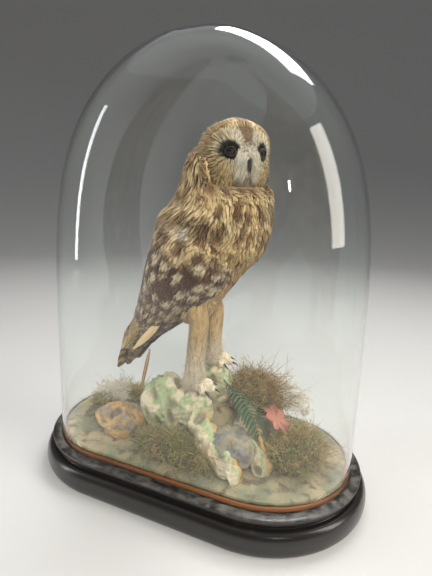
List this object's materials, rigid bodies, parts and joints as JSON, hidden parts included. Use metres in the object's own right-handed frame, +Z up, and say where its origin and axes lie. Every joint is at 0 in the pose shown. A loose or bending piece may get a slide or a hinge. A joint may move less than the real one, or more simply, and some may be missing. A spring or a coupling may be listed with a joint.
{
  "type": "taxidermy short-eared owl under a glass dome",
  "caption": "Stuffed short-eared owl standing on painted rockwork with moss and a fern, under an oval glass dome on a black moulded base.",
  "frame": {"origin": "the middle of the underside of the oval base, on the surface that it stands on", "axes": "+Z up; X along the base's long side with the owl's breast towards +X; the owl's right wing and the display's front towards -Y"},
  "size_m": [0.4404, 0.2544, 0.545],
  "materials": {
    "ebonised_wood": "black shellac polish, softly glossy, worn grey along the top step",
    "bare_wood": "rust-brown bare wood, matt",
    "dome_glass": "clear blown glass, glossy",
    "painted_plaster": "sandy, greenish painted plaster, matt",
    "cream_rockwork": "crumpled glued paper painted cream and pale green, matt",
    "ochre_rockwork": "crumpled glued paper painted ochre and green, matt",
    "grey_rockwork": "crumpled glued paper painted blue grey, matt",
    "dried_moss": "dry olive-brown moss fibres, matt",
    "fern_green": "dark green dried fern, matt",
    "coral_leaf": "coral-pink pressed leaf, matt",
    "white_down": "loose white and grey down, matt",
    "streaked_plumage": "buff feathers with dark brown streaks, matt",
    "flight_feathers": "dark brown feathers with large buff spots, slight sheen",
    "face_feathers": "buff-white facial disc with black eye patches, matt",
    "buff_feathers": "plain buff down feathers, matt",
    "glass_eye": "dark glass eye with a thin amber ring, glossy",
    "horn": "blackish horn, satin"
  },
  "bodies": {
    "root": {"base_foot": "ebonised_wood", "base_neck": "ebonised_wood", "base_top": "ebonised_wood", "bill": "horn", "claw_left_1": "horn", "claw_left_2": "horn", "claw_left_3": "horn", "claw_left_4": "horn", "claw_right_1": "horn", "claw_right_2": "horn", "claw_right_3": "horn", "claw_right_4": "horn", "down_left": "white_down", "down_right": "white_down", "eye_left": "glass_eye", "eye_right": "glass_eye", "fern_frond": "fern_green", "foot_left": "buff_feathers", "foot_right": "buff_feathers", "glass_dome": "dome_glass", "ground_board": "bare_wood", "head": "face_feathers", "leaf_coral": "coral_leaf", "leg_left": "buff_feathers", "leg_right": "buff_feathers", "moss_back": "dried_moss", "moss_front": "dried_moss", "moss_left": "dried_moss", "moss_right": "dried_moss", "neck": "streaked_plumage", "plaster_ground": "painted_plaster", "quill_loose": "white_down", "ridge_cream": "cream_rockwork", "ridge_green": "ochre_rockwork", "rock_cream": "cream_rockwork", "rock_grey": "grey_rockwork", "rock_ochre": "ochre_rockwork", "rock_under_left_foot": "cream_rockwork", "rock_under_right_foot": "cream_rockwork", "tail": "flight_feathers", "trunk": "streaked_plumage", "wing_left": "flight_feathers", "wing_right": "flight_feathers"}
  },
  "joints": []
}
